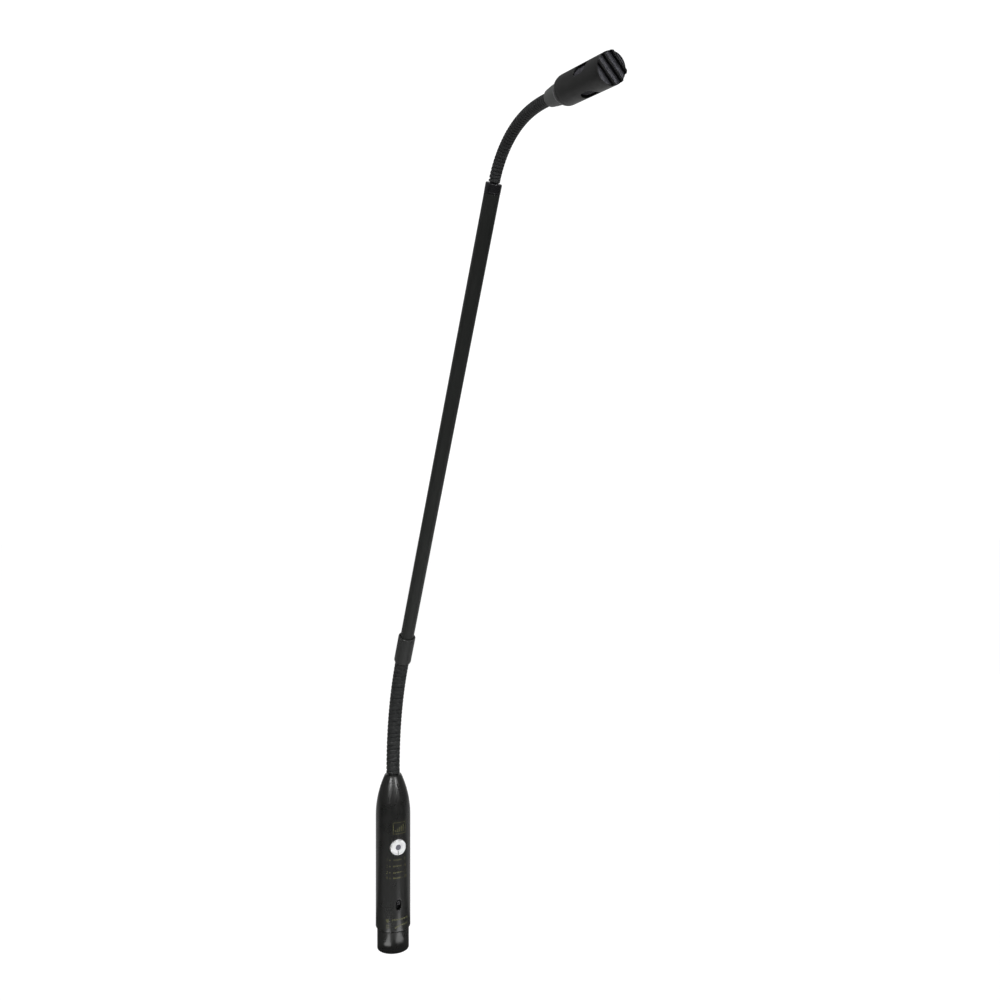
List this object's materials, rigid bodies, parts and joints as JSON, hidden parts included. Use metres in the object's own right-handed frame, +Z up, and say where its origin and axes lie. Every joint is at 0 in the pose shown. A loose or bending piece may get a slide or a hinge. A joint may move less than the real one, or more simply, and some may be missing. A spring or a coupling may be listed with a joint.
{
  "type": "gooseneck podium microphone",
  "caption": "Plug-in podium microphone: cylindrical connector base with a dial and a slide switch, lower gooseneck, rigid stem, upper gooseneck and a slotted head.",
  "frame": {"origin": "centre of the open end of the connector shell, which plugs into the socket that holds the microphone up", "axes": "+Z up along the base; -Y is the front, the way the head, the dial and the switch face; +X is the sideways direction, square to the plane that the necks bend in"},
  "size_m": [0.0208, 0.2608, 0.4408],
  "materials": {
    "black_paint": "satin",
    "stem_paint": "satin",
    "black_satin": "satin",
    "neck_black": "matte",
    "ferrule_black": "gloss",
    "grey_rubber": "matte",
    "black_rubber": "matte",
    "white_plastic": "satin",
    "dark_plastic": "satin",
    "silver": "satin",
    "mesh_grey": "satin",
    "foam_grey": "matte",
    "board_green": "satin",
    "brass": "satin",
    "lead_black": "matte"
  },
  "bodies": {
    "base": {"base_housing": "black_paint", "connector_shell": "black_paint", "connector_insert": "dark_plastic", "connector_pin_1": "silver", "connector_pin_2": "silver", "connector_pin_3": "silver", "connector_screw": "silver", "connector_lead_1": "lead_black", "connector_lead_2": "lead_black", "connector_lead_3": "lead_black", "preamp_board": "board_green", "level_switch": "dark_plastic", "low_cut_switch": "dark_plastic", "amplifier_chip": "dark_plastic", "coupling_capacitor": "silver", "neck_gland": "silver", "base_lead": "lead_black", "lower_neck_lead": "lead_black"},
    "level_dial": {"level_dial": "white_plastic", "level_shaft": "dark_plastic"},
    "low_cut_lever": {"low_cut_lever": "dark_plastic"},
    "lower_link_1": {"lower_neck_link_1": "neck_black"},
    "lower_link_2": {"lower_neck_link_2": "neck_black"},
    "lower_link_3": {"lower_neck_link_3": "neck_black"},
    "lower_link_4": {"lower_neck_link_4": "neck_black"},
    "lower_link_5": {"lower_neck_link_5": "neck_black"},
    "lower_link_6": {"lower_neck_link_6": "neck_black"},
    "lower_link_7": {"lower_neck_link_7": "neck_black"},
    "lower_link_8": {"lower_neck_link_8": "neck_black"},
    "lower_link_9": {"lower_neck_link_9": "neck_black"},
    "stem": {"centre_collar": "black_satin", "stem_tube": "stem_paint", "stem_ferrule": "ferrule_black", "stem_lead": "lead_black", "upper_neck_lead": "lead_black"},
    "upper_link_1": {"upper_neck_link_1": "neck_black"},
    "upper_link_2": {"upper_neck_link_2": "neck_black"},
    "upper_link_3": {"upper_neck_link_3": "neck_black"},
    "upper_link_4": {"upper_neck_link_4": "neck_black"},
    "upper_link_5": {"upper_neck_link_5": "neck_black"},
    "upper_link_6": {"upper_neck_link_6": "neck_black"},
    "upper_link_7": {"upper_neck_link_7": "neck_black"},
    "upper_link_8": {"upper_neck_link_8": "neck_black"},
    "upper_link_9": {"upper_neck_link_9": "neck_black"},
    "upper_link_10": {"upper_neck_link_10": "neck_black"},
    "upper_link_11": {"upper_neck_link_11": "neck_black"},
    "head": {"head_boot": "grey_rubber", "neck_stud": "brass", "head_rear_cap": "black_satin", "head_sleeve": "black_satin", "front_mesh": "mesh_grey", "wind_foam": "foam_grey", "capsule_case": "brass", "diaphragm": "silver", "backplate": "brass", "capsule_circuit": "board_green", "shock_ring_1": "black_rubber", "shock_ring_2": "black_rubber", "port_gauze": "mesh_grey", "head_lead": "lead_black"}
  },
  "joints": [
    {"name": "level_dial_turn", "type": "hinge", "parent": "base", "child": "level_dial", "pos_m": [0, 0, 0.0633], "axis": [0, -1, 0], "range_deg": [0, 270]},
    {"name": "low_cut_slide", "type": "slide", "parent": "base", "child": "low_cut_lever", "axis": [0, 0, -1], "range_m": [0, 0.0026]},
    {"name": "lower_bend_2", "type": "hinge", "parent": "base", "child": "lower_link_1", "pos_m": [0, 0, 0.1048], "axis": [1, 0, 0], "range_deg": [-8, 8]},
    {"name": "lower_bend_3", "type": "hinge", "parent": "lower_link_1", "child": "lower_link_2", "pos_m": [0, -0.00009, 0.11293], "axis": [1, 0, 0], "range_deg": [-8, 8]},
    {"name": "lower_sway_2", "type": "hinge", "parent": "lower_link_2", "child": "lower_link_3", "pos_m": [0, -0.00061, 0.12105], "axis": [0, 0.9958, 0.0919], "range_deg": [-8, 8]},
    {"name": "lower_bend_4", "type": "hinge", "parent": "lower_link_3", "child": "lower_link_4", "pos_m": [0, -0.00159, 0.12912], "axis": [1, 0, 0], "range_deg": [-8, 8]},
    {"name": "lower_bend_5", "type": "hinge", "parent": "lower_link_4", "child": "lower_link_5", "pos_m": [0, -0.00301, 0.13713], "axis": [1, 0, 0], "range_deg": [-8, 8]},
    {"name": "lower_sway", "type": "hinge", "parent": "lower_link_5", "child": "lower_link_6", "pos_m": [0, -0.00489, 0.14504], "axis": [0, 0.9661, 0.2583], "range_deg": [-8, 8], "deforming": ["lower_neck_lead"]},
    {"name": "lower_bend_6", "type": "hinge", "parent": "lower_link_6", "child": "lower_link_7", "pos_m": [0, -0.00721, 0.15283], "axis": [1, 0, 0], "range_deg": [-8, 8]},
    {"name": "lower_bend_7", "type": "hinge", "parent": "lower_link_7", "child": "lower_link_8", "pos_m": [0, -0.00997, 0.16048], "axis": [1, 0, 0], "range_deg": [-8, 8]},
    {"name": "lower_sway_3", "type": "hinge", "parent": "lower_link_8", "child": "lower_link_9", "pos_m": [0, -0.01316, 0.16797], "axis": [0, 0.9087, 0.4174], "range_deg": [-8, 8]},
    {"name": "lower_bend", "type": "hinge", "parent": "lower_link_9", "child": "stem", "pos_m": [0, -0.01676, 0.17526], "axis": [1, 0, 0], "range_deg": [-8, 8], "deforming": ["lower_neck_lead"]},
    {"name": "upper_bend", "type": "hinge", "parent": "stem", "child": "upper_link_1", "pos_m": [0, -0.14548, 0.41838], "axis": [1, 0, 0], "range_deg": [-8, 8], "deforming": ["upper_neck_lead"]},
    {"name": "upper_bend_2", "type": "hinge", "parent": "upper_link_1", "child": "upper_link_2", "pos_m": [0, -0.14859, 0.42315], "axis": [1, 0, 0], "range_deg": [-8, 8]},
    {"name": "upper_sway", "type": "hinge", "parent": "upper_link_2", "child": "upper_link_3", "pos_m": [0, -0.15248, 0.42731], "axis": [0, 0.6721, 0.7405], "range_deg": [-8, 8], "deforming": ["upper_neck_lead"]},
    {"name": "upper_bend_3", "type": "hinge", "parent": "upper_link_3", "child": "upper_link_4", "pos_m": [0, -0.15698, 0.4308], "axis": [1, 0, 0], "range_deg": [-8, 8]},
    {"name": "upper_bend_4", "type": "hinge", "parent": "upper_link_4", "child": "upper_link_5", "pos_m": [0, -0.16196, 0.43357], "axis": [1, 0, 0], "range_deg": [-8, 8]},
    {"name": "upper_sway_2", "type": "hinge", "parent": "upper_link_5", "child": "upper_link_6", "pos_m": [0, -0.16727, 0.43563], "axis": [0, 0.3012, 0.9535], "range_deg": [-8, 8]},
    {"name": "upper_bend_5", "type": "hinge", "parent": "upper_link_6", "child": "upper_link_7", "pos_m": [0, -0.17279, 0.43702], "axis": [1, 0, 0], "range_deg": [-8, 8]},
    {"name": "upper_bend_6", "type": "hinge", "parent": "upper_link_7", "child": "upper_link_8", "pos_m": [0, -0.17844, 0.43779], "axis": [1, 0, 0], "range_deg": [-8, 8]},
    {"name": "upper_sway_3", "type": "hinge", "parent": "upper_link_8", "child": "upper_link_9", "pos_m": [0, -0.18413, 0.43801], "axis": [0, -0.0024, 1], "range_deg": [-8, 8]},
    {"name": "upper_bend_7", "type": "hinge", "parent": "upper_link_9", "child": "upper_link_10", "pos_m": [0, -0.18982, 0.43779], "axis": [1, 0, 0], "range_deg": [-8, 8]},
    {"name": "upper_bend_8", "type": "hinge", "parent": "upper_link_10", "child": "upper_link_11", "pos_m": [0, -0.1955, 0.43722], "axis": [1, 0, 0], "range_deg": [-8, 8]},
    {"name": "upper_sway_4", "type": "hinge", "parent": "upper_link_11", "child": "head", "pos_m": [0, -0.20114, 0.43644], "axis": [0, -0.1461, 0.9893], "range_deg": [-8, 8]}
  ],
  "couplings": [
    {"joint": "lower_bend_2", "follows": "lower_bend", "ratio": 1},
    {"joint": "lower_bend_3", "follows": "lower_bend", "ratio": 1},
    {"joint": "lower_sway_2", "follows": "lower_sway", "ratio": 1},
    {"joint": "lower_bend_4", "follows": "lower_bend", "ratio": 1},
    {"joint": "lower_bend_5", "follows": "lower_bend", "ratio": 1},
    {"joint": "lower_bend_6", "follows": "lower_bend", "ratio": 1},
    {"joint": "lower_bend_7", "follows": "lower_bend", "ratio": 1},
    {"joint": "lower_sway_3", "follows": "lower_sway", "ratio": 1},
    {"joint": "upper_bend_2", "follows": "upper_bend", "ratio": 1},
    {"joint": "upper_bend_3", "follows": "upper_bend", "ratio": 1},
    {"joint": "upper_bend_4", "follows": "upper_bend", "ratio": 1},
    {"joint": "upper_sway_2", "follows": "upper_sway", "ratio": 1},
    {"joint": "upper_bend_5", "follows": "upper_bend", "ratio": 1},
    {"joint": "upper_bend_6", "follows": "upper_bend", "ratio": 1},
    {"joint": "upper_sway_3", "follows": "upper_sway", "ratio": 1},
    {"joint": "upper_bend_7", "follows": "upper_bend", "ratio": 1},
    {"joint": "upper_bend_8", "follows": "upper_bend", "ratio": 1},
    {"joint": "upper_sway_4", "follows": "upper_sway", "ratio": 1}
  ]
}
